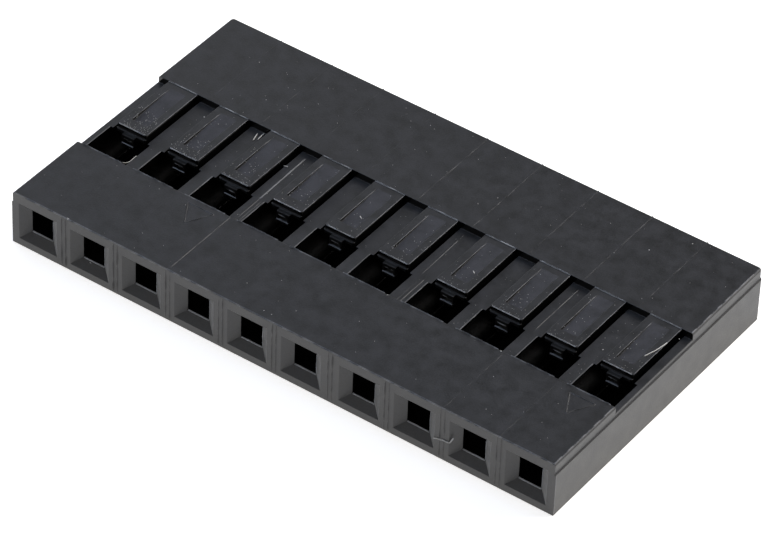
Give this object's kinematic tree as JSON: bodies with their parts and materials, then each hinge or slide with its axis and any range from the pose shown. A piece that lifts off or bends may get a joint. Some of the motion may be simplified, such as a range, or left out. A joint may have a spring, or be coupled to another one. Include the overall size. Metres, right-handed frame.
{
  "type": "crimp connector housing",
  "caption": "Flat one-piece connector housing: a row of terminal chambers with funnelled pin entries, open windows and spring latch fingers on top.",
  "frame": {"origin": "middle of the underside", "axes": "+X along the row of ways, -Y out of the mating face where the header pins enter, +Y out of the wire face, +Z out of the latch side"},
  "size_m": [0.0254, 0.014, 0.0025],
  "materials": {
    "housing_plastic": "black glass-filled nylon, fine matte as moulded"
  },
  "bodies": {
    "root": {"housing": "housing_plastic"}
  },
  "joints": []
}
